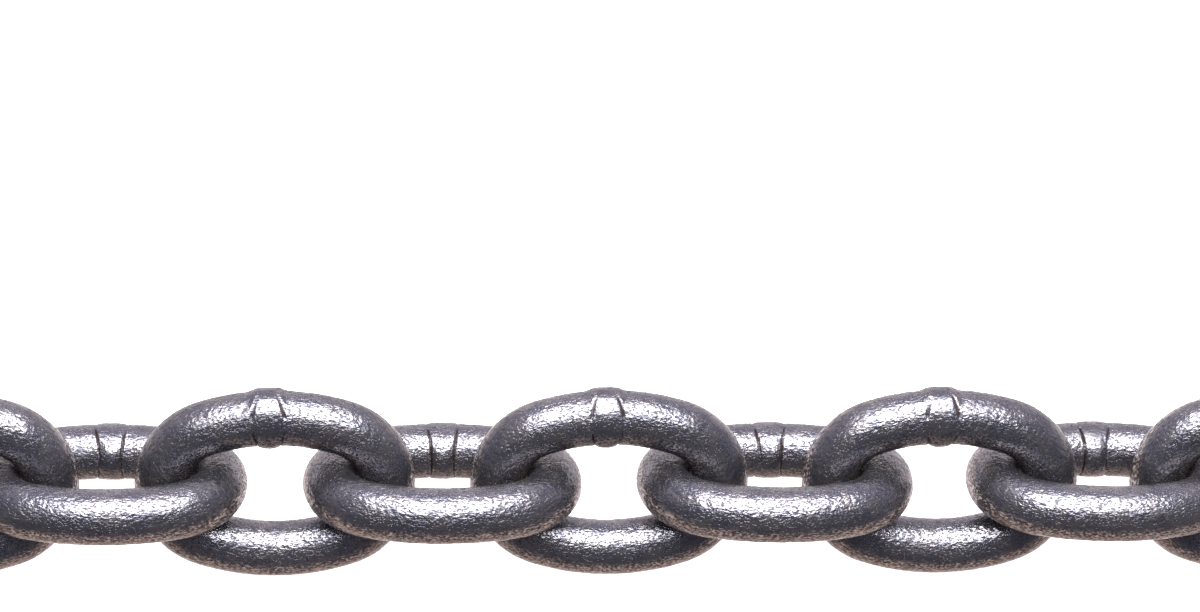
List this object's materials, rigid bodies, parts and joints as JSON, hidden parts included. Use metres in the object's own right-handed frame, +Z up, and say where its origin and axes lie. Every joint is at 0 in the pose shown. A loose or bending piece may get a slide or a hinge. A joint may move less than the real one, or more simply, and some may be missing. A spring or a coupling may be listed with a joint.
{
  "type": "welded steel chain",
  "caption": "Length of short-link welded steel chain, pulled straight: round-wire links hang crosswise in one another and swing where they meet; the end links are open eyes.",
  "frame": {"origin": "on the floor, under the middle of the run's length and width", "axes": "+X along the run, +Z up; the links with their plain side at the front and up come second, fourth and so on from the -X end"},
  "size_m": [0.3222, 0.0294, 0.0283],
  "materials": {
    "dark_steel": "heat-treated steel, dark blue-grey with a thin oil film, slightly hammered and grainy skin, bright broken highlights and brown mill tint on the flanks"
  },
  "bodies": {
    "link_01": {"link_01": "dark_steel"},
    "link_02": {"link_02": "dark_steel"},
    "link_03": {"link_03": "dark_steel"},
    "link_04": {"link_04": "dark_steel"},
    "link_05": {"link_05": "dark_steel"},
    "link_06": {"link_06": "dark_steel"},
    "link_07": {"link_07": "dark_steel"},
    "link_08": {"link_08": "dark_steel"},
    "link_09": {"link_09": "dark_steel"},
    "link_10": {"link_10": "dark_steel"}
  },
  "joints": [
    {"name": "swing_01_02", "type": "hinge", "parent": "link_01", "child": "link_02", "pos_m": [-0.11565, -0.00029, 0.01388], "axis": [0, 0.7071, 0.7071], "range_deg": [-110, 110]},
    {"name": "swing_02_03", "type": "hinge", "parent": "link_02", "child": "link_03", "pos_m": [-0.08545, -0.00029, 0.01388], "axis": [0, 0.746, -0.6659], "range_deg": [-110, 110]},
    {"name": "swing_03_04", "type": "hinge", "parent": "link_03", "child": "link_04", "pos_m": [-0.05525, -0.00029, 0.01388], "axis": [0, -0.7071, -0.7071], "range_deg": [-110, 110]},
    {"name": "swing_04_05", "type": "hinge", "parent": "link_04", "child": "link_05", "pos_m": [-0.02505, -0.00029, 0.01388], "axis": [0, -0.746, 0.6659], "range_deg": [-110, 110]},
    {"name": "swing_05_06", "type": "hinge", "parent": "link_05", "child": "link_06", "pos_m": [0.00515, -0.00029, 0.01388], "axis": [0, 0.7071, 0.7071], "range_deg": [-110, 110]},
    {"name": "swing_06_07", "type": "hinge", "parent": "link_06", "child": "link_07", "pos_m": [0.03535, -0.00029, 0.01388], "axis": [0, 0.746, -0.6659], "range_deg": [-110, 110]},
    {"name": "swing_07_08", "type": "hinge", "parent": "link_07", "child": "link_08", "pos_m": [0.06555, -0.00029, 0.01388], "axis": [0, -0.7071, -0.7071], "range_deg": [-110, 110]},
    {"name": "swing_08_09", "type": "hinge", "parent": "link_08", "child": "link_09", "pos_m": [0.09575, -0.00029, 0.01388], "axis": [0, -0.746, 0.6659], "range_deg": [-110, 110]},
    {"name": "swing_09_10", "type": "hinge", "parent": "link_09", "child": "link_10", "pos_m": [0.12595, -0.00029, 0.01388], "axis": [0, 0.7071, 0.7071], "range_deg": [-110, 110]}
  ]
}
